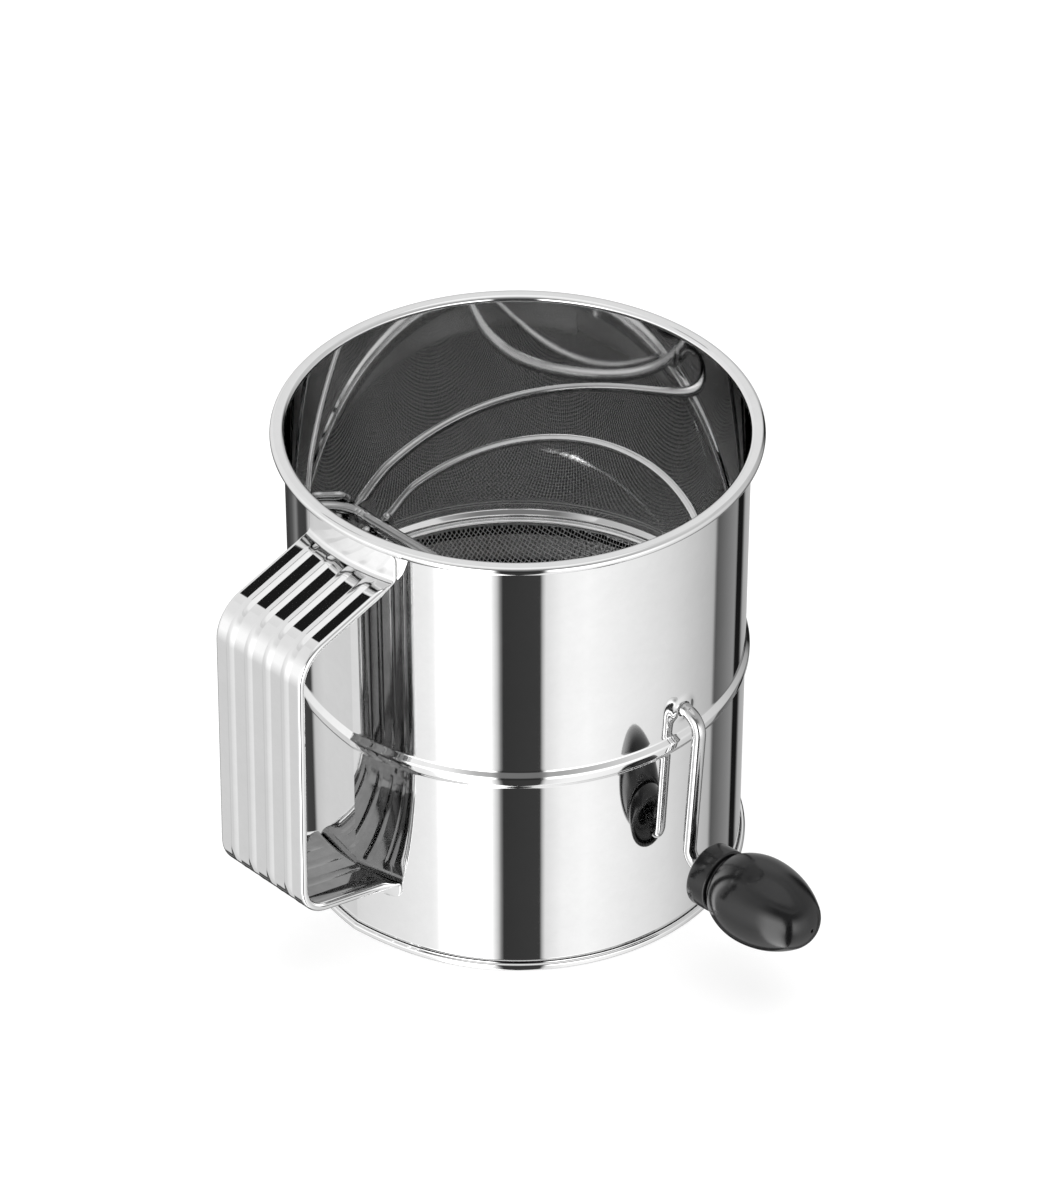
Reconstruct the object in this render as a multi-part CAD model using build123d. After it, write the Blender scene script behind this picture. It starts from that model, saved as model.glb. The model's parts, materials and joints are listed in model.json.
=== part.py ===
from build123d import *
import os
from math import atan2, cos, pi, radians, sin, sqrt, tan

# Rotary flour sifter, in millimetres, +Z up. The origin is on the body's axis, in the plane that the foot
# stands on. The handle is on the -X side and the crank comes out on the -Y side.

# body: one rolled sheet with a curled rim, a bead and a hemmed foot
BODY_R = 78.0
BODY_H = 170.7
SHEET = 0.5
RIM_R = 82.6
RIM_CURL_R = 1.35
RIM_SHOULDER_R = 1.6
BEAD_Z = 81.3
BEAD_DEPTH = 1.5
BEAD_CROWN = 2.8
BEAD_SPREAD = 6.4
BEAD_BEND_R = 1.3
FOOT_R = 79.8
FOOT_H = 2.6
FOOT_BEND_R = 0.6
HEM_GAP = 0.4

# fits
RUNNING_GAP = 0.05
SEAT_GAP = 0.02

# crank: one bent wire that is shaft, arm and spindle
SHAFT_Z = 94.0
CRANK_R = 2.4
ARM_Y = 86.0
ARM_DROP = 59.0
SHAFT_BEND_R = 7.0
SPINDLE_BEND_R = 6.0
SPINDLE_TILT = 3.0
SPINDLE_LENGTH = 47.0
CRANK_TURN = 4.0
HEAD_R = 3.4
SHAFT_HEAD = 1.6
SHAFT_HEAD_Y = 78.4

# agitator: two half hoops of thinner wire, their ends curled round the shaft
LOOP_WIRE_R = 1.6
LOOP_REACH = 67.5
LOOP_ANGLE = 30.0
UPPER_EYE_Y = 71.3
LOWER_EYE_Y = 67.9

# screen and the ring that clamps its edge
RING_TOP = 77.3
RING_OUTER_LEG = 6.8
RING_INNER_LEG = 2.9
RING_INNER_R = 75.0
RING_BEND_R = 0.8
SCREEN = 0.4
SCREEN_EDGE_R = 76.6
SCREEN_EDGE_Z = 76.0
SWEEP_CLEARANCE = 2.5

# handle: a ribbed strap with rolled edges and a curved flange at each end
HANDLE_TOP_Z = 155.3
HANDLE_FOOT_Z = 28.3
HANDLE_TOP_SLOPE = 16.0
HANDLE_FOOT_SLOPE = 15.3
GRIP_TOP_R = 117.2
GRIP_FOOT_R = 119.0
GRIP_TOP_BEND_R = 15.0
GRIP_FOOT_BEND_R = 14.0
STRAP = 0.7
STRAP_HALF = 20.4
EDGE_ROLL_R = 1.4
RIB_PITCH = 8.7
RIB_COUNT = 4
RIB_WIDTH = 5.2
RIB_HEIGHT = 1.2
FLANGE = 0.8
TOP_FLANGE = (154.0, 166.5)
FOOT_FLANGE = (21.5, 31.0)
FLANGE_CORNER_R = 4.0

# knob, measured along its axis from its inner end
KNOB_Y = 95.2
COLLAR_R = 11.2
COLLAR_LENGTH = 8.2
COLLAR_RECESS_R = 9.4
COLLAR_RECESS = 2.6
COLLAR_EDGE = 0.7
GROOVE_R = 9.6
GROOVE_LENGTH = 1.4
SPIGOT_R = 7.0
SPIGOT_LENGTH = 4.4
GRIP_SHOULDER_R = 11.2
GRIP_R = 15.35
GRIP_WIDEST = 23.0
TIP_CAP_R = 11.0
KNOB_LENGTH = 47.5
SWAGE_LENGTH = 2.4
SWAGE_POCKET = 3.4
SWAGE_END_GAP = 0.4
BORE_END = 40.0
TIP_HOLE_R = 0.7
TIP_HOLE_DEPTH = 2.0

INNER_R = BODY_R - SHEET
WALL_R = BODY_R - SHEET / 2
KNOB_Z = SHAFT_Z - ARM_DROP + (KNOB_Y - ARM_Y) * tan(radians(SPINDLE_TILT))
PARTING = COLLAR_LENGTH + GROOVE_LENGTH


def turned(shape, angle):
    """Turns a shape about the shaft, +X towards -Z for a positive angle."""
    return Pos(0, 0, SHAFT_Z) * Rot(0, angle, 0) * shape


def ring_of(section):
    """Revolves a section drawn in radius and height about the Z axis."""
    return revolve(Plane.XZ * section, Axis.Z)


def drum(radius, low, high):
    return Pos(0, 0, low) * Cylinder(radius, high - low, align=(Align.CENTER, Align.CENTER, Align.MIN))


def rod(radius, low_y, high_y):
    """A cylinder along Y through the middle of the XZ plane."""
    return Rot(-90, 0, 0) * drum(radius, low_y, high_y)


def body_shell():
    foot_r = FOOT_R - SHEET / 2
    foot_top = FOOT_H - SHEET / 2
    rim_r = RIM_R - SHEET / 2
    rim_top = BODY_H - SHEET / 2
    curl_r = rim_r - 2 * RIM_CURL_R
    curl_z = rim_top - 2 * RIM_CURL_R
    crown_r = WALL_R + BEAD_DEPTH
    sheet_line = FilletPolyline(
        (BODY_R + HEM_GAP, foot_top),
        (foot_r, foot_top),
        (foot_r, SHEET / 2),
        (WALL_R, SHEET / 2),
        (WALL_R, BEAD_Z - BEAD_SPREAD / 2),
        (crown_r, BEAD_Z - BEAD_CROWN / 2),
        (crown_r, BEAD_Z + BEAD_CROWN / 2),
        (WALL_R, BEAD_Z + BEAD_SPREAD / 2),
        (WALL_R, rim_top),
        (rim_r, rim_top),
        (rim_r, curl_z),
        (curl_r, curl_z),
        (curl_r, curl_z + RIM_CURL_R),
        radius=[FOOT_BEND_R] * 3 + [BEAD_BEND_R] * 4 + [RIM_SHOULDER_R] + [RIM_CURL_R - SEAT_GAP] * 3,
    )
    shell = ring_of(trace(sheet_line, line_width=SHEET))
    shaft_holes = rod(CRANK_R + RUNNING_GAP, -RIM_R, RIM_R)
    return shell - Pos(0, 0, SHAFT_Z) * shaft_holes


def sieve_ring():
    outer_r = INNER_R - SEAT_GAP - SHEET / 2
    inner_r = RING_INNER_R + SHEET / 2
    top = RING_TOP - SHEET / 2
    channel = FilletPolyline(
        (outer_r, RING_TOP - RING_OUTER_LEG),
        (outer_r, top),
        (inner_r, top),
        (inner_r, RING_TOP - RING_INNER_LEG),
        radius=RING_BEND_R,
    )
    return ring_of(trace(channel, line_width=SHEET))


def sieve_mesh():
    """A thin dish, part of a sphere, that clears the turning hoops by SWEEP_CLEARANCE at its lowest point."""
    lowest = SHAFT_Z - LOOP_REACH - LOOP_WIRE_R - SWEEP_CLEARANCE
    depth = SCREEN_EDGE_Z - lowest
    sphere_r = (SCREEN_EDGE_R**2 + depth**2) / (2 * depth)
    dish = Pos(0, 0, lowest + sphere_r) * (Sphere(sphere_r) - Sphere(sphere_r - SCREEN))
    return dish & drum(BODY_R, 0, SCREEN_EDGE_Z)


def strap_section():
    """The strap across its width: flat lands, raised ribs, and a rolled bead along each edge."""
    half = STRAP_HALF - EDGE_ROLL_R
    middles = [(i - (RIB_COUNT - 1) / 2) * RIB_PITCH for i in range(RIB_COUNT)]
    faces = []
    for level in (0, -STRAP):
        edges = []
        reached = -half
        for middle in middles:
            rib_start, rib_end = middle - RIB_WIDTH / 2, middle + RIB_WIDTH / 2
            edges.append(Line((reached, level), (rib_start, level)))
            edges.append(ThreePointArc((rib_start, level), (middle, level + RIB_HEIGHT), (rib_end, level)))
            reached = rib_end
        edges.append(Line((reached, level), (half, level)))
        faces.append(edges)
    sides = [Line((x, 0), (x, -STRAP)) for x in (-half, half)]
    section = make_face(faces[0] + faces[1] + sides)
    for x in (-half, half):
        section += Pos(x, -EDGE_ROLL_R) * Circle(EDGE_ROLL_R)
    return section


def flange(low, high, round_top):
    """A plate curved round the body, its free corners rounded."""
    plate = drum(BODY_R + SEAT_GAP + FLANGE, low, high) - drum(BODY_R + SEAT_GAP, low, high)
    outline = Pos(0, (low + high) / 2) * Rectangle(2 * STRAP_HALF, high - low)
    corners = outline.vertices().group_by(Axis.Y)[-1 if round_top else 0]
    blank = extrude(Plane.YZ * fillet(corners, FLANGE_CORNER_R), -BODY_R - FLANGE * 2)
    return plate & blank


def handle_strap():
    rise = tan(radians(HANDLE_TOP_SLOPE))
    fall = tan(radians(HANDLE_FOOT_SLOPE))
    hidden = 6 * EDGE_ROLL_R
    line = Plane.XZ * FilletPolyline(
        (-BODY_R + hidden, HANDLE_TOP_Z + hidden * rise),
        (-GRIP_TOP_R, HANDLE_TOP_Z - (GRIP_TOP_R - BODY_R) * rise),
        (-GRIP_FOOT_R, HANDLE_FOOT_Z + (GRIP_FOOT_R - BODY_R) * fall),
        (-BODY_R + hidden, HANDLE_FOOT_Z - hidden * fall),
        radius=[GRIP_TOP_BEND_R, GRIP_FOOT_BEND_R],
    )
    start = Plane(origin=line @ 0, x_dir=(0, 1, 0), z_dir=line % 0)
    strap = sweep(start * strap_section(), path=line)
    strap -= drum(BODY_R + SEAT_GAP, 0, BODY_H)
    return strap + flange(*TOP_FLANGE, True) + flange(*FOOT_FLANGE, False)


def crank_wire():
    tilt = radians(SPINDLE_TILT)
    line = Plane.YZ * FilletPolyline(
        (SHAFT_HEAD_Y, 0),
        (-ARM_Y, 0),
        (-ARM_Y, -ARM_DROP),
        (-ARM_Y - SPINDLE_LENGTH * cos(tilt), -ARM_DROP + SPINDLE_LENGTH * sin(tilt)),
        radius=[SHAFT_BEND_R, SPINDLE_BEND_R],
    )
    start = Plane(origin=line @ 0, z_dir=line % 0)
    wire = sweep(start * Circle(CRANK_R), path=line)
    wire += rod(HEAD_R, SHAFT_HEAD_Y, SHAFT_HEAD_Y + SHAFT_HEAD)
    swage_start = PARTING + SPIGOT_LENGTH + SWAGE_END_GAP
    swage = drum(HEAD_R, swage_start, swage_start + SWAGE_LENGTH)
    wire += Pos(0, 0, -SHAFT_Z) * on_spindle(swage)
    return turned(wire, CRANK_TURN)


def on_spindle(shape):
    """Moves a shape made along +Z from the knob's inner end onto the spindle, the arm hanging straight down."""
    return Pos(0, -KNOB_Y, KNOB_Z) * Rot(90 - SPINDLE_TILT, 0, 0) * shape


def on_turned_spindle(shape):
    return turned(Pos(0, 0, -SHAFT_Z) * on_spindle(shape), CRANK_TURN)


def agitator_loop(eye_y, angle):
    eye_r = CRANK_R + SEAT_GAP + LOOP_WIRE_R
    line = ThreePointArc((eye_r, -eye_y), (LOOP_REACH, 0), (eye_r, eye_y))
    start = Plane(origin=line @ 0, z_dir=line % 0)
    loop = sweep(start * Circle(LOOP_WIRE_R), path=line)
    for y in (-eye_y, eye_y):
        loop += Pos(0, y, 0) * Rot(90, 0, 0) * Torus(eye_r, LOOP_WIRE_R)
    return turned(loop, -angle)


def knob_collar():
    bore_r = CRANK_R + RUNNING_GAP
    spigot_end = PARTING + SPIGOT_LENGTH
    section = make_face(
        Polyline(
            (bore_r, COLLAR_RECESS),
            (COLLAR_RECESS_R, COLLAR_RECESS),
            (COLLAR_RECESS_R, 0),
            (COLLAR_R - COLLAR_EDGE, 0),
            (COLLAR_R, COLLAR_EDGE),
            (COLLAR_R, COLLAR_LENGTH - COLLAR_EDGE),
            (COLLAR_R - COLLAR_EDGE, COLLAR_LENGTH),
            (GROOVE_R, COLLAR_LENGTH),
            (GROOVE_R, PARTING - SEAT_GAP),
            (SPIGOT_R - SEAT_GAP, PARTING - SEAT_GAP),
            (SPIGOT_R - SEAT_GAP, spigot_end),
            (bore_r, spigot_end),
            close=True,
        )
    )
    return on_turned_spindle(ring_of(section))


def knob_grip():
    """An egg of three tangent arcs: shoulder to widest place, widest place to the tip's cap, and the cap."""
    rise = GRIP_R - GRIP_SHOULDER_R
    run = GRIP_WIDEST - PARTING
    back_r = (rise**2 + run**2) / (2 * rise)
    back_middle = (GRIP_R - back_r + sqrt(back_r**2 - (run / 2) ** 2), PARTING + run / 2)
    cap_centre = KNOB_LENGTH - TIP_CAP_R
    reach = cap_centre - GRIP_WIDEST
    front_r = (GRIP_R**2 + reach**2 - TIP_CAP_R**2) / (2 * (GRIP_R - TIP_CAP_R))
    lean = atan2(reach, front_r - GRIP_R)
    front_middle = (GRIP_R - front_r + front_r * cos(lean / 2), GRIP_WIDEST + front_r * sin(lean / 2))
    join = (TIP_CAP_R * cos(lean), cap_centre + TIP_CAP_R * sin(lean))
    cap_turn = (lean + pi / 2) / 2
    cap_middle = (TIP_CAP_R * cos(cap_turn), cap_centre + TIP_CAP_R * sin(cap_turn))
    outline = [
        Line((0, KNOB_LENGTH), (0, PARTING)),
        Line((0, PARTING), (GRIP_SHOULDER_R, PARTING)),
        ThreePointArc((GRIP_SHOULDER_R, PARTING), back_middle, (GRIP_R, GRIP_WIDEST)),
        ThreePointArc((GRIP_R, GRIP_WIDEST), front_middle, join),
        ThreePointArc(join, cap_middle, (0, KNOB_LENGTH)),
    ]
    grip = ring_of(make_face(outline))
    spigot_end = PARTING + SPIGOT_LENGTH
    grip -= drum(SPIGOT_R, PARTING, spigot_end)
    grip -= drum(HEAD_R + HEM_GAP, PARTING, spigot_end + SWAGE_POCKET)
    grip -= drum(CRANK_R + RUNNING_GAP, PARTING, BORE_END)
    grip -= drum(TIP_HOLE_R, KNOB_LENGTH - TIP_HOLE_DEPTH, KNOB_LENGTH)
    return on_turned_spindle(grip)


def main():
    os.makedirs("parts", exist_ok=True)
    nodes = {
        "body_shell": body_shell(),
        "sieve_ring": sieve_ring(),
        "sieve_mesh": sieve_mesh(),
        "handle_strap": handle_strap(),
        "crank_wire": crank_wire(),
        "agitator_loop_upper": agitator_loop(UPPER_EYE_Y, LOOP_ANGLE),
        "agitator_loop_lower": agitator_loop(LOWER_EYE_Y, LOOP_ANGLE + 180),
        "knob_collar": knob_collar(),
        "knob_grip": knob_grip(),
    }
    for name, shape in nodes.items():
        export_step(shape, f"parts/{name}.step")


main()
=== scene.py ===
import json
import math

import bmesh
import bpy
import numpy as np
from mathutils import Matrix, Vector


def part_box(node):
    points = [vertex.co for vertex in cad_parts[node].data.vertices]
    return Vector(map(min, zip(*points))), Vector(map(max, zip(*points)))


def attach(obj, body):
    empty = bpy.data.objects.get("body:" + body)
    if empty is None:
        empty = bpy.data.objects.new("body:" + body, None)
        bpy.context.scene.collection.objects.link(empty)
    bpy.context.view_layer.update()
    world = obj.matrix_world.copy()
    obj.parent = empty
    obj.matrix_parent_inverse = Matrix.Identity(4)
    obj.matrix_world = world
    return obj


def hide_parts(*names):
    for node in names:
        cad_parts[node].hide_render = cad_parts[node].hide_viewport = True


# Rotary flour sifter in polished stainless steel, with a black knob. Metres, +Z up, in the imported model's
# frame: the body's axis is Z, the foot stands at z = 0, the handle is on -X and the crank on -Y.

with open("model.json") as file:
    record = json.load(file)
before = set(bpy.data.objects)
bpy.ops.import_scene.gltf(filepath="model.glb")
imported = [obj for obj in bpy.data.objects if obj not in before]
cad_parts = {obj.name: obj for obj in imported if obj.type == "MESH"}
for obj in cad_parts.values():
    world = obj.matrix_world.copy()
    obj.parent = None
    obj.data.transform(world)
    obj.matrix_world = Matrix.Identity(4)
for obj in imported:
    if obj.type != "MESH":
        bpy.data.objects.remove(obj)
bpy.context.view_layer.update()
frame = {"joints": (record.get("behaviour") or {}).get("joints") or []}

MM = 0.001
TAU = 2 * math.pi

# ---------------------------------------------------------------- places read from the frame

joints = {j["name"]: j for j in frame["joints"]}
SHAFT_Z = joints["crank_spin"]["pos_m"][2]
KNOB_POINT = np.array(joints["knob_spin"]["pos_m"])
KNOB_AXIS = np.array(joints["knob_spin"]["axis"])

_, body_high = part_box("body_shell")
BODY_TOP = body_high.z
RIM_R = body_high.x
ring_low, ring_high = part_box("sieve_ring")
mesh_low, mesh_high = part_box("sieve_mesh")
strap_low, strap_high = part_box("handle_strap")

# ---------------------------------------------------------------- sizes that the frame doesn't give

SHEET = 0.5 * MM
BODY_R = 78.0 * MM
INNER_R = BODY_R - SHEET
RIM_CURL_R = 1.6 * MM
RIM_SHOULDER_R = 1.6 * MM
BEAD_Z = 81.3 * MM
BEAD_DEPTH = 1.5 * MM
BEAD_HALF = 3.3 * MM
BEAD_CROWN_HALF = 1.3 * MM
BEAD_BEND_R = 1.5 * MM
FOOT_R = 79.8 * MM
FOOT_H = 2.6 * MM
FOOT_BEND_R = 0.6 * MM
HEM_GAP = 0.4 * MM
HOLE_R = 2.85 * MM
BOSS_R = 5.8 * MM
BOSS_HEIGHT = 0.5 * MM
CRANK_R = 2.4 * MM
LOOP_R = 1.6 * MM
# The crank stands turned by this much about the shaft.
CRANK_TURN = math.radians(4)


# ---------------------------------------------------------------- mesh helpers

def mesh_object(name, vertices, faces, smooth=True):
    """An object in the scene from vertices and faces, with its normals pointing out."""
    mesh = bpy.data.meshes.new(name)
    mesh.from_pydata([tuple(v) for v in vertices], [], [tuple(f) for f in faces])
    mesh.validate()
    obj = bpy.data.objects.new(name, mesh)
    bpy.context.scene.collection.objects.link(obj)
    bm = bmesh.new()
    bm.from_mesh(mesh)
    bmesh.ops.recalc_face_normals(bm, faces=bm.faces)
    bm.to_mesh(mesh)
    bm.free()
    if smooth:
        mesh.shade_smooth()
    return obj


def arc(centre, radius, start, end, steps):
    """Points of an arc in the plane, angles in degrees."""
    angles = np.radians(np.linspace(start, end, steps + 1))
    return [(centre[0] + radius * math.cos(a), centre[1] + radius * math.sin(a)) for a in angles]


def lathe(profile, turns=360, place=lambda p: p):
    """Vertices and faces of a closed profile, given in radius and height, turned about Z and then placed."""
    count = len(profile)
    vertices = []
    for i in range(turns):
        a = TAU * i / turns
        for r, z in profile:
            vertices.append(place(np.array([r * math.cos(a), r * math.sin(a), z])))
    faces = []
    for i in range(turns):
        j = (i + 1) % turns
        for k in range(count):
            m = (k + 1) % count
            faces.append((i * count + k, j * count + k, j * count + m, i * count + m))
    return vertices, faces


def frames_along(points, first_normal):
    """Tangents, and normals carried along the line without twist."""
    points = np.array(points, float)
    tangents = np.gradient(points, axis=0)
    tangents /= np.linalg.norm(tangents, axis=1)[:, None]
    normal = np.array(first_normal, float)
    normals = []
    for t in tangents:
        normal = normal - t * (normal @ t)
        normal /= np.linalg.norm(normal)
        normals.append(normal.copy())
    return points, tangents, np.array(normals)


CAP_ANGLES = [15, 40, 65, 90]
CAP_LENGTH = 0.55


def tube(points, radii, first_normal=(1, 0, 0), sides=24):
    """A round wire along points, with rounded ends that stand out by CAP_LENGTH of its radius."""
    points, tangents, normals = frames_along(points, first_normal)
    radii = np.broadcast_to(np.asarray(radii, float), (len(points),))
    rings = []
    for sign, i in ((-1, 0), (1, len(points) - 1)):
        caps = []
        for a in np.radians(CAP_ANGLES[::sign]):
            offset = tangents[i] * radii[i] * CAP_LENGTH * math.sin(a) * sign
            caps.append((points[i] + offset, tangents[i], normals[i], radii[i] * max(math.cos(a), 0.02)))
        rings.append(caps)
    middle = [(points[i], tangents[i], normals[i], radii[i]) for i in range(len(points))]
    stations = rings[0] + middle + rings[1]
    vertices = []
    for p, t, n, r in stations:
        b = np.cross(t, n)
        for k in range(sides):
            a = TAU * k / sides
            vertices.append(p + r * (math.cos(a) * n + math.sin(a) * b))
    faces = []
    for i in range(len(stations) - 1):
        for k in range(sides):
            m = (k + 1) % sides
            faces.append((i * sides + k, i * sides + m, (i + 1) * sides + m, (i + 1) * sides + k))
    faces.append(tuple(range(sides)))
    faces.append(tuple(range((len(stations) - 1) * sides, len(stations) * sides)))
    return vertices, faces


def smoothstep(t):
    """An eased step from 0 at t = 0 to 1 at t = 1."""
    t = min(1.0, max(0.0, t))
    return t * t * (3 - 2 * t)


def about_shaft(p, angle):
    """Turns a point about the shaft; a positive angle takes +X towards -Z."""
    x, y, z = p
    z = z - SHAFT_Z
    c, s = math.cos(angle), math.sin(angle)
    return np.array([x * c + z * s, y, -x * s + z * c + SHAFT_Z])


def rounded_path(corners, radii, step):
    """A polyline with its corners rounded by arcs, step degrees to a point."""
    corners = [np.array(c, float) for c in corners]
    points = [corners[0]]
    for before, corner, after, radius in zip(corners, corners[1:], corners[2:], radii):
        u = before - corner
        v = after - corner
        u /= np.linalg.norm(u)
        v /= np.linalg.norm(v)
        turn = math.pi - math.acos(np.clip(u @ v, -1, 1))
        reach = radius * math.tan(turn / 2)
        middle = (u + v) / np.linalg.norm(u + v)
        centre = corner + middle * radius / math.cos(turn / 2)
        start = corner + u * reach - centre
        axis = np.cross(start, corner + v * reach - centre)
        axis /= np.linalg.norm(axis)
        for a in np.linspace(0, turn, max(3, round(math.degrees(turn) / step)) + 1):
            points.append(centre + start * math.cos(a) + np.cross(axis, start) * math.sin(a))
    points.append(corners[-1])
    return points


def spaced(points, gap):
    """The same line with points no further apart than gap."""
    points = [np.array(p, float) for p in points]
    out = [points[0]]
    for a, b in zip(points, points[1:]):
        count = max(1, math.ceil(np.linalg.norm(b - a) / gap))
        out += [a + (b - a) * k / count for k in range(1, count + 1)]
    return out


def piece(obj, body, node):
    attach(obj, body)
    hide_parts(node)
    return obj


# ---------------------------------------------------------------- body: one rolled sheet

SEAM_AZIMUTH = math.radians(181)
SEAM_PEAK = 0.9 * MM
SEAM_WIDTH = math.radians(15)
# Extra columns of vertices close beside the seam, in degrees, keep its step crisp.
SEAM_COLUMNS = (-0.16, -0.08, 0.08)
# The wall is round again under the rim: the seam's bulge fades out over SEAM_FADE, from SEAM_FADE_Z up.
SEAM_FADE_Z = 158 * MM
SEAM_FADE = 6 * MM
# Each shaft hole has a patch of its own in the wall: HOLE_PATCH degrees to each side, and in height from
# PATCH_LOW to PATCH_HIGH.
HOLE_PATCH = 8
PATCH_LOW = SHAFT_Z - 8 * MM
PATCH_HIGH = SHAFT_Z + 8 * MM
PATCH_MARGIN = 0.6 * MM
# Where the patch's rings of vertices lie, from its border at 1 to the hole's edge at 0.
PATCH_RINGS = (0.8, 0.62, 0.47, 0.35, 0.26, 0.19, 0.13, 0.08, 0.04, 0.015, 0.0)
ROW_GAP = 2 * MM
EDGE_ROW = 0.3 * MM


def body_line():
    """The sheet's middle line, from the hem's tucked end, up the wall, to the rim curl's tucked end."""
    half = SHEET / 2
    wall = BODY_R - half
    foot = FOOT_R - half
    hem = FOOT_H - half
    rim = RIM_R - half
    top = BODY_TOP - half
    curl = RIM_CURL_R - half
    crown = wall + BEAD_DEPTH
    corners = [
        (BODY_R + HEM_GAP, hem), (foot, hem), (foot, half), (wall, half),
        (wall, BEAD_Z - BEAD_HALF), (crown, BEAD_Z - BEAD_CROWN_HALF),
        (crown, BEAD_Z + BEAD_CROWN_HALF), (wall, BEAD_Z + BEAD_HALF),
        (wall, top), (rim, top), (rim, top - 2 * curl), (rim - 2 * curl, top - 2 * curl),
        (rim - 2 * curl, top - curl),
    ]
    radii = [FOOT_BEND_R] * 3 + [BEAD_BEND_R] * 4 + [RIM_SHOULDER_R] + [curl * 0.98] * 3
    line = rounded_path([(r, 0, z) for r, z in corners], radii, step=7)
    rows = [(p[0], p[2]) for p in line]
    out = []
    for (r, z0), (_, z1) in zip(rows, rows[1:]):
        out.append((r, z0))
        if z1 - z0 > 5 * MM:
            heights = list(np.linspace(z0, z1, max(2, round((z1 - z0) / ROW_GAP)) + 1)[1:-1])
            heights += [z0 + EDGE_ROW, z1 - EDGE_ROW]
            if z0 < PATCH_LOW and z1 > PATCH_HIGH:
                low, high = PATCH_LOW - PATCH_MARGIN, PATCH_HIGH + PATCH_MARGIN
                heights = [h for h in heights if not low <= h <= high]
                heights += list(np.linspace(PATCH_LOW, PATCH_HIGH, 2 * HOLE_PATCH + 1))
            out += [(r, h) for h in sorted(heights)]
    out.append(rows[-1])
    return out


def sheet_outline(line, thickness):
    """Both faces of a sheet along a line, as one closed outline."""
    points = np.array(line)
    tangents = np.gradient(points, axis=0)
    tangents /= np.linalg.norm(tangents, axis=1)[:, None]
    normals = np.stack([tangents[:, 1], -tangents[:, 0]], axis=1)
    outer = points + normals * thickness / 2
    inner = points - normals * thickness / 2
    return [tuple(p) for p in outer] + [tuple(p) for p in inner[::-1]]


def seam_step(azimuth):
    """How far the sheet stands out near its seam, where rolling leaves it flatter than a true circle."""
    past = abs(azimuth - SEAM_AZIMUTH)
    return SEAM_PEAK * max(0.0, 1 - past / SEAM_WIDTH) ** 2


def hole_patch(vertices, faces, border, radius, side):
    """Fills a patch of the wall between its border and the hole, boss included. Gives the hole's edge."""
    ring = border
    edge = [vertices[v] for v in border]
    size = len(border)
    for share in PATCH_RINGS:
        new = []
        for x, y, z in edge:
            a = math.atan2(z - SHAFT_Z, x)
            cx, cz = HOLE_R * math.cos(a), SHAFT_Z + HOLE_R * math.sin(a)
            px, pz = cx + (x - cx) * share, cz + (z - cz) * share
            out_from_hole = math.hypot(px, pz - SHAFT_Z) - HOLE_R
            lift = BOSS_HEIGHT * smoothstep(1 - out_from_hole / (BOSS_R - HOLE_R))
            new.append(len(vertices))
            vertices.append((px, side * (math.sqrt(radius**2 - px**2) + lift), pz))
        faces += [(ring[n], ring[(n + 1) % size], new[(n + 1) % size], new[n]) for n in range(size)]
        ring = new
    return ring


def body_shell():
    """The turned sheet with its seam, and a boss with a hole in it where the shaft passes on each side."""
    outline = sheet_outline(body_line(), SHEET)
    count = len(outline)
    half_count = count // 2
    seam = math.degrees(SEAM_AZIMUTH)
    degrees = sorted(list(range(360)) + [seam + beside for beside in SEAM_COLUMNS])
    angles = [math.radians(d) for d in degrees]
    vertices = []
    for a in angles:
        for r, z in outline:
            r += seam_step(a) * (1 - smoothstep((z - SEAM_FADE_Z) / SEAM_FADE))
            vertices.append((r * math.cos(a), r * math.sin(a), z))
    tolerance = 0.001 * MM
    rows = [k for k in range(half_count) if PATCH_LOW - tolerance <= outline[k][1] <= PATCH_HIGH + tolerance
            and abs(outline[k][0] - BODY_R) < 10 * tolerance]
    mirrored = [count - 1 - k for k in rows]
    faces = []
    turns = len(angles)
    holes = [degrees.index(270), degrees.index(90)]
    cut = {i % turns for h in holes for i in range(h - HOLE_PATCH, h + HOLE_PATCH)}
    row_set = set(rows[:-1])
    mirrored_set = set(mirrored[1:])
    for i in range(turns):
        j = (i + 1) % turns
        for k in range(count):
            if i in cut and (k in row_set or k in mirrored_set):
                continue
            m = (k + 1) % count
            faces.append((i * count + k, j * count + k, j * count + m, i * count + m))
    for h in holes:
        side = -1 if degrees[h] == 270 else 1
        rims = []
        for layer, radius in ((rows, BODY_R), (mirrored, INNER_R)):
            columns = list(range(h - HOLE_PATCH, h + HOLE_PATCH + 1))
            border = [(c, layer[0]) for c in columns]
            border += [(columns[-1], r) for r in layer[1:]]
            border += [(c, layer[-1]) for c in columns[-2::-1]]
            border += [(columns[0], r) for r in layer[-2:0:-1]]
            ring = [(c % turns) * count + k for c, k in border]
            rims.append(hole_patch(vertices, faces, ring, radius, side))
        outer, inner = rims
        size = len(outer)
        faces += [(outer[n], outer[(n + 1) % size], inner[(n + 1) % size], inner[n]) for n in range(size)]
    return mesh_object("body", vertices, faces)


# ---------------------------------------------------------------- screen and its ring

RING_GAP = 0.05 * MM
RING_WIDTH = 1.6 * MM
RING_FALL = 0.4 * MM
RING_INNER_LEG = 2.9 * MM
RING_BENDS = [0.3 * MM, 0.65 * MM]
DISH_HALF = 0.2 * MM
SCREEN_EDGE_R = 76.4 * MM
SCREEN_PITCH = 1.55 * MM
SCREEN_WIRE_R = 0.16 * MM
SCREEN_WIRE_SIDES = 4
# Steps of a wire from one crossing to the next.
SCREEN_WIRE_STEPS = 2
SCREEN_TURN = math.radians(15)


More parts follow.
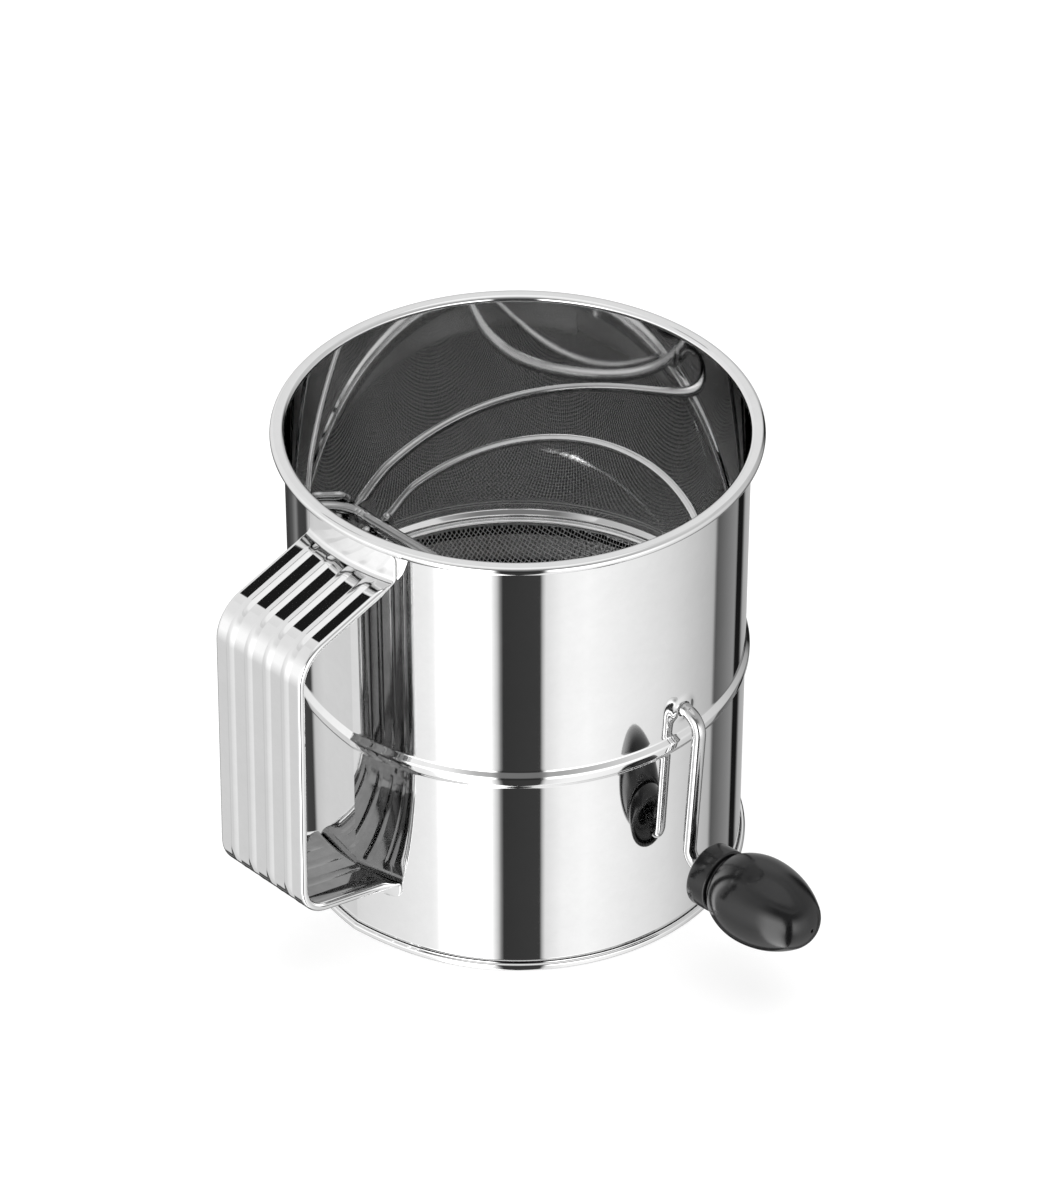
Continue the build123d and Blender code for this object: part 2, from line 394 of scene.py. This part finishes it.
def sieve_ring():
    """A channel whose rounded lip clamps the screen's edge, its top falling away from the lip to the wall."""
    half = SHEET / 2
    outer = INNER_R - RING_GAP - half
    inner = ring_high.x - RING_WIDTH + half
    top = ring_high.z - half
    corners = [
        (outer, 0, ring_low.z), (outer, 0, top - RING_FALL), (inner, 0, top),
        (inner, 0, ring_high.z - RING_INNER_LEG),
    ]
    line = [(p[0], p[2]) for p in rounded_path(corners, RING_BENDS, step=6)]
    vertices, faces = lathe(sheet_outline(line, SHEET))
    return mesh_object("screen_ring", vertices, faces)


def add_screen_wire(vertices, faces, points, centre):
    """Adds one of the screen's wires along points, with an edge turned away from the dish's centre."""
    sides = SCREEN_WIRE_SIDES
    tangents = np.gradient(points, axis=0)
    tangents /= np.linalg.norm(tangents, axis=1)[:, None]
    outward = points - centre
    outward /= np.linalg.norm(outward, axis=1)[:, None]
    sideways = np.cross(tangents, outward)
    base = len(vertices)
    for p, o, s in zip(points, outward, sideways):
        for q in range(sides):
            a = TAU * q / sides
            vertices.append(p + SCREEN_WIRE_R * (math.cos(a) * o + math.sin(a) * s))
    for i in range(len(points) - 1):
        for q in range(sides):
            m = (q + 1) % sides
            a, b = base + i * sides, base + (i + 1) * sides
            faces.append((a + q, a + m, b + m, b + q))
    faces.append(tuple(base + q for q in range(sides)))
    faces.append(tuple(base + (len(points) - 1) * sides + q for q in range(sides)))


def sieve_mesh():
    """Plain-woven wire: two families of wires laid on the dish, each passing over and under the other."""
    depth = mesh_high.z - mesh_low.z
    radius = (mesh_high.x**2 + depth**2) / (2 * depth)
    centre_z = mesh_low.z + radius - DISH_HALF
    middle_r = radius - DISH_HALF
    edge = middle_r * math.asin(SCREEN_EDGE_R / middle_r)
    count = int(edge / SCREEN_PITCH)
    shortest = 3 * SCREEN_PITCH
    vertices, faces = [], []

    def on_dish(u, v, height):
        """A point u, v along the cloth from its middle, height above it."""
        reach = math.hypot(u, v)
        polar = reach / middle_r
        azimuth = math.atan2(v, u) + SCREEN_TURN
        r = middle_r - height
        return np.array([
            r * math.sin(polar) * math.cos(azimuth),
            r * math.sin(polar) * math.sin(azimuth),
            centre_z - r * math.cos(polar),
        ])

    for family in (0, 1):
        for n in range(-count, count + 1):
            across = n * SCREEN_PITCH
            span = edge**2 - across**2
            if span < shortest**2:
                continue
            half_steps = int(math.sqrt(span) / SCREEN_PITCH * SCREEN_WIRE_STEPS)
            line = []
            for k in range(-half_steps, half_steps + 1):
                along = k * SCREEN_PITCH / SCREEN_WIRE_STEPS
                phase = math.pi * along / SCREEN_PITCH + math.pi * n + math.pi * family
                wave = SCREEN_WIRE_R * math.cos(phase)
                u, v = (along, across) if family == 0 else (across, along)
                line.append(on_dish(u, v, wave))
            add_screen_wire(vertices, faces, np.array(line), np.array([0, 0, centre_z]))
    return mesh_object("screen_cloth", vertices, faces)


# ---------------------------------------------------------------- handle: one pressed strap

STRAP = 0.7 * MM
STRAP_HALF = 20.4 * MM
STRAP_STEP = 1.2 * MM
# Vertices across each face, and steps round each rolled edge.
ACROSS = 209
ROLL_STEPS = 21
# The strap's heights at its four bends, from the top flange down to the foot flange, and the bends' radii.
BEND_HEIGHTS = (155.3 * MM, 144.3 * MM, 39.5 * MM, 28.4 * MM)
BEND_RADII = (2.2 * MM, 15 * MM, 14 * MM, 2.2 * MM)
GRIP_MARGIN = 1.15 * MM
GRIP_LEAN = 1.8 * MM
EDGE_R = 0.36 * MM
EDGE_ROLL_R = 1.4 * MM
EDGE_ROLL_TURN = 115
EDGE_TUCK = 0.02 * MM
# The rolled edges start at ROLL_START past a flange and are full after ROLL_LENGTH.
ROLL_START = 0.5 * MM
ROLL_LENGTH = 4 * MM
RIBS = 4
RIB_PITCH = 8.7 * MM
RIB_WIDTH = 4.0 * MM
RIB_HEIGHT = 0.42 * MM
RIB_START = 1.2 * MM
# At the grip's lower bend the ribs are crushed, and even pushed in by half their height.
CRUSH = 1.5
CRUSH_LENGTH = 2.2 * MM
FLANGE_R = BODY_R + 0.85 * MM
FLANGE_CORNER = 4.0 * MM
# Past the flanges the strap loses the wall's curve and the dents over these lengths.
HUG_LENGTH = 4.5 * MM
DENT_LENGTH = 3 * MM
DENT = 0.03 * MM


def rib_height(w, inside):
    """Height of the pressed ribs at w across the strap, inside being the distance from the nearer flange."""
    nearest = min(max(round(w / RIB_PITCH + (RIBS - 1) / 2), 0), RIBS - 1)
    aside = w - (nearest - (RIBS - 1) / 2) * RIB_PITCH
    past_end = max(0.0, RIB_START + RIB_WIDTH / 2 - inside)
    d = math.hypot(aside, past_end)
    if d > RIB_WIDTH / 2:
        return 0.0
    return RIB_HEIGHT * (1 - (2 * d / RIB_WIDTH) ** 1.5)


def strap_section(inside, rib_share, roll_share, half_width):
    """The strap across its width as a closed outline: ribbed face, rolled edge, back face, rolled edge."""
    roll = EDGE_R + (EDGE_ROLL_R - EDGE_R) * roll_share
    flat = half_width - roll
    across = np.linspace(-flat, flat, ACROSS)
    front = [(w, rib_height(w, inside) * rib_share) for w in across]
    last = -90 - EDGE_ROLL_TURN * roll_share
    turn = np.radians(np.linspace(90, last, ROLL_STEPS + 1))[1:]
    right = [(flat + roll * math.cos(a), -roll + roll * math.sin(a)) for a in turn]
    inset = right[-1][0] - EDGE_TUCK
    back = [(w, rib_height(w, inside) * rib_share - STRAP) for w in np.linspace(inset, -inset, ACROSS)]
    left = [(-w, h) for w, h in right[::-1]]
    return front + right + back + left


def dents(w, s):
    """The shallow waves that pressing and welding leave in the flanges."""
    across, along = w / MM, s / MM
    broad = math.sin(0.55 * across + 0.8 * math.sin(0.6 * along)) * math.sin(0.45 * along + 0.3)
    slanting = 0.6 * math.sin(0.31 * across - 0.5 * along + 1.1)
    narrow = 0.4 * math.sin(0.9 * across + 0.2 * along)
    return DENT * (broad + slanting - narrow)


def handle_strap():
    """The strap swept from its top flange to its foot flange; its back between the edges gets a rougher steel
    whose dark colour is painted shade.
    """
    top, foot = strap_high.z, strap_low.z
    top_bend, grip_top, grip_foot, foot_bend = BEND_HEIGHTS
    grip = -strap_low.x - GRIP_MARGIN
    corners = [
        (-FLANGE_R, 0, top), (-FLANGE_R, 0, top_bend), (-grip + GRIP_LEAN, 0, grip_top),
        (-grip, 0, grip_foot), (-FLANGE_R, 0, foot_bend), (-FLANGE_R, 0, foot),
    ]
    line = spaced(rounded_path(corners, BEND_RADII, step=5), STRAP_STEP)
    points, tangents, _ = frames_along(line, (0, 1, 0))
    lengths = np.concatenate([[0], np.cumsum(np.linalg.norm(np.diff(points, axis=0), axis=1))])
    total = lengths[-1]
    top_flange = top - top_bend
    foot_flange = foot_bend - foot
    lower_bend = lengths[np.argmin(np.linalg.norm(points - np.array(corners[3]), axis=1))]
    vertices = []
    for p, t, s in zip(points, tangents, lengths):
        from_end = min(s, total - s)
        inside = min(s - top_flange, total - s - foot_flange)
        roll_share = smoothstep((inside - ROLL_START) / ROLL_LENGTH)
        rib_share = 1 - CRUSH * math.exp(-(((s - lower_bend) / CRUSH_LENGTH) ** 2))
        hug = 1 - smoothstep(inside / HUG_LENGTH)
        dented = 1 - smoothstep(inside / DENT_LENGTH)
        corner = max(0.0, FLANGE_CORNER - from_end)
        half_width = STRAP_HALF - FLANGE_CORNER + math.sqrt(max(FLANGE_CORNER**2 - corner**2, 0))
        normal = np.array([t[2], 0, -t[0]])
        section = strap_section(inside, rib_share, roll_share, half_width)
        for w, h in section:
            curve = FLANGE_R - math.sqrt(FLANGE_R**2 - w**2)
            h += dents(w, s) * dented
            vertices.append((p[0] + normal[0] * h + curve * hug, w, p[2] + normal[2] * h))
    count = len(section)
    faces = []
    for i in range(len(points) - 1):
        for k in range(count):
            m = (k + 1) % count
            faces.append((i * count + k, i * count + m, (i + 1) * count + m, (i + 1) * count + k))
    for i in (0, len(points) - 1):
        base = i * count
        last = count - 1 - ROLL_STEPS
        for a in range(ACROSS - 1):
            faces.append((base + a, base + a + 1, base + last - a - 1, base + last - a))
        right = range(ACROSS - 1, ACROSS + ROLL_STEPS + 1)
        faces.append(tuple(base + k for k in right))
        left = [last + n for n in range(ROLL_STEPS + 1)] + [0]
        faces.append(tuple(base + k for k in left))
    strap = mesh_object("handle", vertices, faces)
    sides = (len(points) - 1) * count
    backs = range(ACROSS + ROLL_STEPS, 2 * ACROSS + ROLL_STEPS - 1)
    # The back faces between the edges take the second material, the darkened steel that paints the shade on
    # the strap's back.
    for number, face in enumerate(strap.data.polygons):
        face.material_index = int(number < sides and number % count in backs)
    return strap


# ---------------------------------------------------------------- crank, hoops

FAR_END_Y = 80.0 * MM
ARM_Y = 86.0 * MM
ARM_DROP = 59.0 * MM
ARM_BENDS = (7.0 * MM, 6.0 * MM)
SPINDLE_LENGTH = 38 * MM
SPINDLE_TILT = math.radians(3)
# The round head at the shaft's far end: distance from the body's axis and radius, in millimetres.
HEAD = (
    (79.75, 2.2), (79.5, 2.8), (79.2, 3.2), (78.8, 3.4), (78.5, 3.3), (78.42, 2.9), (78.38, 2.4), (77.0, 2.4),
)

HOOP_REACH = 67.5 * MM
UPPER_EYE_Y = 71.3 * MM
UPPER_TURN = math.radians(30)
LOWER_EYE_Y = 67.9 * MM
LOWER_TURN = math.radians(210)
HOOK_GAP = 0.03 * MM
HOOK_DEGREES = 112
# A hoop's wire comes into the hoop's own plane over this distance from the shaft.
HOOP_RISE = 16 * MM


def crank_wire():
    """One bent wire: the head, the shaft across the body, the arm and the spindle inside the knob."""
    arm_end = SHAFT_Z - ARM_DROP
    tip_y = -ARM_Y - SPINDLE_LENGTH * math.cos(SPINDLE_TILT)
    tip_z = arm_end + SPINDLE_LENGTH * math.sin(SPINDLE_TILT)
    corners = [(0, FAR_END_Y, SHAFT_Z), (0, -ARM_Y, SHAFT_Z), (0, -ARM_Y, arm_end), (0, tip_y, tip_z)]
    line = rounded_path(corners, ARM_BENDS, step=4)
    start = [np.array([0, y * MM, SHAFT_Z]) for y, _ in HEAD]
    radii = [r * MM for _, r in HEAD]
    points = start + [np.array(p) for p in spaced(line[1:], 4 * MM)]
    radii += [CRANK_R] * (len(points) - len(start))
    points = [about_shaft(p, CRANK_TURN) for p in points]
    vertices, faces = tube(points, radii, sides=32)
    return mesh_object("crank", vertices, faces)


def hoop(name, eye_y, angle, below):
    """A half hoop of wire whose ends, eye_y from the body's axis, hook round the shaft. In the hoop's own
    plane they pass under the shaft if below is 1, and over it if below is -1."""
    wound = CRANK_R + LOOP_R + HOOK_GAP
    drop = HOOP_REACH - wound
    radius = (eye_y**2 + drop**2) / (2 * drop)
    centre = HOOP_REACH - radius
    start = math.asin(eye_y / radius)
    half = []
    for a in np.radians(np.linspace(HOOK_DEGREES, 0, 30))[:-1]:
        half.append((-wound * math.sin(a), eye_y, -wound * math.cos(a)))
    for a in np.linspace(start, 0, 61):
        rho = centre + radius * math.cos(a)
        level = 1 - smoothstep((rho - wound) / HOOP_RISE)
        half.append((rho - wound * level, radius * math.sin(a), -wound * level))
    points = [(x, -y, z) for x, y, z in half] + half[-2::-1]
    placed = [about_shaft((x, y, below * z + SHAFT_Z), -angle) for x, y, z in points]
    vertices, faces = tube(placed, LOOP_R, first_normal=(0, 1, 0), sides=20)
    return mesh_object(name, vertices, faces)


# ---------------------------------------------------------------- knob

# The joint's point lies this far from the knob's inner end.
KNOB_POINT_IN = 23 * MM
# The knob's outlines are radius and distance from its inner end, in millimetres. The collar has a spigot that
# sits in the grip and ends here.
SPIGOT_END = 13.8


def on_spindle():
    """Places a shape made along +Z, whose zero is the knob's inner end, on the crank's spindle."""
    axis = KNOB_AXIS / np.linalg.norm(KNOB_AXIS)
    side = np.cross((0, 0, 1.0), axis)
    side /= np.linalg.norm(side)
    up = np.cross(axis, side)
    origin = KNOB_POINT - KNOB_POINT_IN * axis
    return lambda p: origin + side * p[0] + up * p[1] + axis * p[2]


def knob_collar():
    """The collar, from its hollow end over its rounded rim and the groove to its spigot."""
    outline = [
        (2.45, 2.6), (8.6, 2.6), (9.2, 2.3), (9.5, 1.7), (9.5, 0.4), (9.6, 0.1), (9.9, 0), (10.4, 0),
        (10.8, 0.15), (11.1, 0.45), (11.2, 0.9), (11.25, 4.0), (11.25, 7.3), (11.15, 7.8), (10.8, 8.1),
        (10.3, 8.2), (9.75, 8.25), (9.6, 8.4), (9.6, 9.5), (7.0, 9.55), (7.0, SPIGOT_END), (2.45, SPIGOT_END),
    ]
    vertices, faces = lathe([(r * MM, z * MM) for r, z in outline], 128, on_spindle())
    return mesh_object("knob_collar_ring", vertices, faces)


def knob_grip():
    """An egg of three tangent arcs with a gate mark and a small hole at its tip."""
    shoulder, widest, cap, length = 9.6, 23.0, 11.0, 47.5
    girth, shoulder_r = 15.35, 11.2
    mark_r, mark_width, mark_depth = 3.5, 0.22, 0.06
    back_r = ((girth - shoulder_r) ** 2 + (widest - shoulder) ** 2) / (2 * (girth - shoulder_r))
    reach = length - cap - widest
    front_r = (girth**2 + reach**2 - cap**2) / (2 * (girth - cap))
    lean = math.atan2(reach, front_r - girth)
    back_start = -math.degrees(math.asin((widest - shoulder) / back_r))
    outline = [(7.05, SPIGOT_END), (7.05, 9.65), (9.4, shoulder), (10.6, 9.62)]
    outline += arc((girth - back_r, widest), back_r, back_start + 0.9, 0, 14)
    outline += arc((girth - front_r, widest), front_r, 0, math.degrees(lean), 18)[1:]
    tip = arc((0, length - cap), cap, math.degrees(lean), 86, 16)[1:]
    for r, z in tip:
        mark = math.exp(-(((r - mark_r) / mark_width) ** 2))
        outline.append((r, z - mark_depth * mark))
    outline += [(0.72, length - 0.05), (0.68, length - 0.4), (0.66, length - 2.0), (0.01, length - 2.1)]
    outline.append((0.01, SPIGOT_END))
    vertices, faces = lathe([(r * MM, z * MM) for r, z in outline], 128, on_spindle())
    return mesh_object("knob_egg", vertices, faces)


# ---------------------------------------------------------------- materials

class Nodes:
    """A short way to write a material's nodes."""

    def __init__(self, tree):
        self.tree = tree

    def add(self, kind, inputs=None, **settings):
        node = self.tree.nodes.new(kind)
        for key, value in settings.items():
            setattr(node, key, value)
        for key, value in (inputs or {}).items():
            if isinstance(value, bpy.types.NodeSocket):
                self.tree.links.new(value, node.inputs[key])
            else:
                node.inputs[key].default_value = value
        return node

    def noise(self, vector, scale, detail=3.0, roughness=0.5):
        inputs = {"Vector": vector, "Scale": scale, "Detail": detail, "Roughness": roughness}
        return self.add("ShaderNodeTexNoise", inputs).outputs["Fac"]

    def ranged(self, value, low, high, to_low, to_high):
        inputs = {"Value": value, "From Min": low, "From Max": high, "To Min": to_low, "To Max": to_high}
        return self.add("ShaderNodeMapRange", inputs).outputs["Result"]

    def maths(self, operation, a, b=0.0):
        return self.add("ShaderNodeMath", {0: a, 1: b}, operation=operation).outputs[0]

    def blended(self, a, b, share):
        """Two values added up, with share of the second and the rest of the first."""
        return self.maths("ADD", self.maths("MULTIPLY", a, 1 - share), self.maths("MULTIPLY", b, share))

    def mixed(self, share, a, b):
        """Two colours mixed, with share of the second."""
        node = self.add("ShaderNodeMix", {"Factor": share, "A": a, "B": b}, data_type="RGBA")
        return node.outputs["Result"]

    def scaled(self, vector, scale):
        return self.add("ShaderNodeMapping", {"Vector": vector, "Scale": scale}).outputs["Vector"]

    def ramp(self, value, stops):
        """A colour ramp with the given (position, level) stops. Blender takes at most 32."""
        node = self.add("ShaderNodeValToRGB", {"Fac": value})
        elements = node.color_ramp.elements
        while len(elements) > 1:
            elements.remove(elements[0])
        elements[0].position, elements[0].color = stops[0][0], grey(stops[0][1])
        for position, level in stops[1:]:
            elements.new(position).color = grey(level)
        return node.outputs["Color"]

    def bump(self, height, distance, normal=None):
        inputs = {"Height": height, "Distance": distance, "Strength": 1.0}
        if normal:
            inputs["Normal"] = normal
        return self.add("ShaderNodeBump", inputs).outputs["Normal"]


def grey(level):
    """A colour with its alpha, from one level or from red, green and blue."""
    return (level, level, level, 1.0) if isinstance(level, (int, float)) else (*level, 1.0)


def material(name, metallic):
    """A new material, its nodes, its shader and the place on the object."""
    made = bpy.data.materials.new(name)
    made.use_nodes = True
    nodes = Nodes(made.node_tree)
    shader = made.node_tree.nodes["Principled BSDF"]
    shader.inputs["Metallic"].default_value = metallic
    place = nodes.add("ShaderNodeTexCoord").outputs["Object"]
    return made, nodes, shader, place


HAIR_DEPTH = 0.0004 * MM


def steel(name, colours, roughness, waviness, scratch=0.25, grain=(60, 60, 900)):
    """Bright metal: colours and roughness as (low, high), rolled waviness in millimetres, fine scratches."""
    made, nodes, shader, place = material(name, 1.0)
    link = made.node_tree.links.new
    cloud = nodes.noise(place, 38, 4.0, 0.6)
    smear = nodes.noise(place, 260, 5.0, 0.65)
    hairs = nodes.noise(nodes.scaled(place, grain), 9, 2.0)
    stains = nodes.blended(cloud, smear, 0.4)
    link(nodes.ramp(stains, [(0.3, colours[0]), (0.7, colours[1])]), shader.inputs["Base Color"])
    wear = nodes.blended(stains, hairs, scratch)
    link(nodes.ranged(wear, 0.35, 0.65, roughness[0], roughness[1]), shader.inputs["Roughness"])
    wave = nodes.bump(nodes.noise(place, 26, 2.0, 0.4), waviness * MM)
    link(nodes.bump(hairs, HAIR_DEPTH, wave), shader.inputs["Normal"])
    return made


def black_plastic(name):
    """Moulded plastic, slightly uneven, with faint scuffs round the knob."""
    made, nodes, shader, place = material(name, 0.0)
    link = made.node_tree.links.new
    cloud = nodes.noise(place, 90, 4.0, 0.55)
    orange_peel = nodes.noise(place, 420, 2.0, 0.4)
    scuffs = nodes.noise(nodes.scaled(place, (1, 5, 1)), 700, 4.0, 0.7)
    tones = [(0.3, (0.004, 0.004, 0.0043)), (0.7, (0.008, 0.008, 0.0084))]
    link(nodes.ramp(cloud, tones), shader.inputs["Base Color"])
    link(nodes.ranged(scuffs, 0.4, 0.7, 0.13, 0.22), shader.inputs["Roughness"])
    link(nodes.bump(orange_peel, 0.006 * MM), shader.inputs["Normal"])
    shader.inputs["IOR"].default_value = 1.52
    return made


# ---------------------------------------------------------------- the sifter

shell = piece(body_shell(), "body", "body_shell")
clamp = piece(sieve_ring(), "body", "sieve_ring")
cloth = piece(sieve_mesh(), "body", "sieve_mesh")
strap = piece(handle_strap(), "body", "handle_strap")
wire = piece(crank_wire(), "crank", "crank_wire")
upper = piece(hoop("hoop_upper", UPPER_EYE_Y, UPPER_TURN, 1), "crank", "agitator_loop_upper")
lower = piece(hoop("hoop_lower", LOWER_EYE_Y, LOWER_TURN, -1), "crank", "agitator_loop_lower")
collar = piece(knob_collar(), "knob", "knob_collar")
egg = piece(knob_grip(), "knob", "knob_grip")

# Painted shade: the strap's back gets a very dark base colour that stands in for the shade it sits in, as
# well as a rougher finish.
back_shade_steel = steel("unpolished_sheet_steel", (0.22, 0.34), (0.08, 0.18), 0.04)
polished = steel("polished_sheet_steel", (0.82, 0.88), (0.02, 0.05), 0.03)
inside_ring = steel("ring_steel", (0.80, 0.87), (0.04, 0.09), 0.01)
drawn = steel("drawn_wire_steel", (0.55, 0.65), (0.10, 0.18), 0.004, scratch=0.6, grain=(300, 300, 20))
woven = steel("woven_wire_steel", (0.68, 0.8), (0.28, 0.42), 0.004, scratch=0.5, grain=(200, 200, 200))
plastic = black_plastic("moulded_black_plastic")

for obj, mat in ((shell, polished), (clamp, inside_ring), (cloth, woven), (strap, polished), (wire, drawn),
                 (upper, drawn), (lower, drawn), (collar, plastic), (egg, plastic)):
    obj.data.materials.append(mat)
strap.data.materials.append(back_shade_steel)


# ---------------------------------------------------------------- floor, light, camera

def stage_disc(name, radius, z, level, glow, sides=128):
    """A matt disc under the object that is scenery only: its paint's level and how much it glows."""
    angles = [TAU * i / sides for i in range(sides)]
    vertices = [(radius * math.cos(a), radius * math.sin(a), z) for a in angles]
    obj = mesh_object(name, vertices, [tuple(range(sides))], smooth=False)
    made, nodes, shader, place = material(name + "_paint", 0.0)
    tone = nodes.ramp(nodes.noise(place, 3, 2.0), [(0.3, level * 0.985), (0.7, level)])
    made.node_tree.links.new(tone, shader.inputs["Base Color"])
    shader.inputs["Roughness"].default_value = 0.9
    shader.inputs["Specular IOR Level"].default_value = 0.0
    shader.inputs["Emission Color"].default_value = grey(1.0)
    shader.inputs["Emission Strength"].default_value = glow
    obj.data.materials.append(made)
    return obj


floor = stage_disc("floor", radius=6.0, z=-0.2 * MM, level=0.35, glow=0.72)
floor.visible_glossy = False
# Painted shade: a nearly black disc inside the foot stands in for the shade on the floor under the body, seen
# through the screen.
stage_disc("floor_under_body", radius=BODY_R, z=-0.1 * MM, level=0.012, glow=0.0)


def studio():
    """White and dark cards round the object, told apart by compass direction, in layers by height. The camera
    sees plain white."""
    world = bpy.data.worlds.new("studio")
    bpy.context.scene.world = world
    world.use_nodes = True
    nodes = Nodes(world.node_tree)
    background = world.node_tree.nodes["Background"]
    heading = nodes.add("ShaderNodeTexCoord").outputs["Generated"]
    split = nodes.add("ShaderNodeSeparateXYZ", {"Vector": heading})
    azimuth = nodes.maths("ARCTAN2", split.outputs["Y"], split.outputs["X"])
    place = nodes.ranged(azimuth, -math.pi, math.pi, 0.0, 1.0)
    height = split.outputs["Z"]
    colour = nodes.ramp(place, azimuth_stops(CARDS))
    for stops, low, high in LAYERS:
        share = nodes.ranged(height, low, high, 0.0, 1.0)
        colour = nodes.mixed(share, colour, nodes.ramp(place, azimuth_stops(stops)))
    to_camera = nodes.add("ShaderNodeLightPath").outputs["Is Camera Ray"]
    world.node_tree.links.new(nodes.mixed(to_camera, colour, grey(1.0)), background.inputs["Color"])
    background.inputs["Strength"].default_value = 1.0


# Light by compass direction: azimuth in degrees, from +X towards +Y, and level. CARDS is the lowest layer.
CARDS = [
    (-180, 1.0), (-176, 1.1), (-172, 3.5), (-154, 3.5), (-147.2, 1.0), (-145.4, 0.8), (-142.7, 0.04),
    (-123.7, 0.05), (-121.5, 0.84), (-112, 1.05), (-100, 1.1), (-57, 0.83), (-38, 0.66), (-20, 0.5),
    (-17.5, 0.1), (5, 0.29), (7, 0.01), (15, 0.01), (20, 0.4), (43, 0.55), (46, 0.05), (66, 0.05), (75, 0.1),
    (82, 0.25), (86, 0.06), (96, 0.05), (99, 0.6), (108, 0.72), (131, 0.71), (180, 1.0),
]
MIDDLE = [
    (-180, 1.5), (-166, 3.5), (-147.2, 3.5), (-143.2, 0.03), (-124, 0.03), (-120, 2.8), (-95, 1.6),
    (-60, 0.9), (-20, 0.6), (0, 0.4), (7, 0.02), (15, 0.02), (20, 0.5), (45, 0.5), (66, 0.85), (110, 0.9),
    (150, 1.2), (180, 1.5),
]
UPPER = [
    (-180, 0.8), (-155, 0.2), (-115, 0.2), (-60, 0.6), (10, 0.6), (25, 0.85), (60, 0.82), (68, 0.88),
    (150, 0.88), (180, 0.8),
]
DARK_CARD = [(-180, 0.7), (-60, 0.6), (70, 0.85), (72, 0.012), (82.5, 0.012), (84, 0.88), (180, 0.7)]
OPEN = [(-180, 0.7), (-135, 0.4), (-60, 0.6), (66, 0.85), (150, 0.85), (180, 0.7)]
ZENITH = [(-180, 1.0), (0, 1.05), (180, 1.0)]
# Each layer above takes over from the one below it between two heights of the direction's unit vector.
LAYERS = [
    (MIDDLE, -0.5, -0.1), (UPPER, 0.2, 0.55), (DARK_CARD, 0.745, 0.753), (OPEN, 0.822, 0.83),
    (ZENITH, 0.88, 0.93),
]


def azimuth_stops(stops):
    """The same stops with their azimuths brought to the ramp's 0 to 1."""
    return [((azimuth + 180) / 360, level) for azimuth, level in stops]


def soft_light(name, place, target, size, watts):
    """A rectangular lamp aimed at a target, left out of reflections."""
    lamp = bpy.data.lights.new(name, "AREA")
    lamp.shape = "RECTANGLE"
    lamp.size, lamp.size_y = size
    lamp.energy = watts
    obj = bpy.data.objects.new(name, lamp)
    bpy.context.scene.collection.objects.link(obj)
    obj.location = place
    obj.rotation_euler = (Vector(target) - Vector(place)).to_track_quat("-Z", "Y").to_euler()
    obj.visible_glossy = False


studio()
soft_light("overhead", place=(0.1, -0.1, 1.6), target=(0, 0, 0), size=(1.6, 1.6), watts=18)

CAMERA_PLACE = Vector((-0.9927, -1.0032, 1.13681))
CAMERA_TARGET = Vector((0.001727, -0.001709, 0.1019))
CAMERA_LENS = 156.67

camera_data = bpy.data.cameras.new("camera")
camera_data.lens = CAMERA_LENS
camera_data.sensor_width = 36.0
camera_data.clip_end = 50.0
camera = bpy.data.objects.new("camera", camera_data)
bpy.context.scene.collection.objects.link(camera)
camera.location = CAMERA_PLACE
camera.rotation_euler = (CAMERA_TARGET - CAMERA_PLACE).to_track_quat("-Z", "Y").to_euler()
bpy.context.scene.camera = camera
bpy.context.scene.view_settings.view_transform = "Standard"
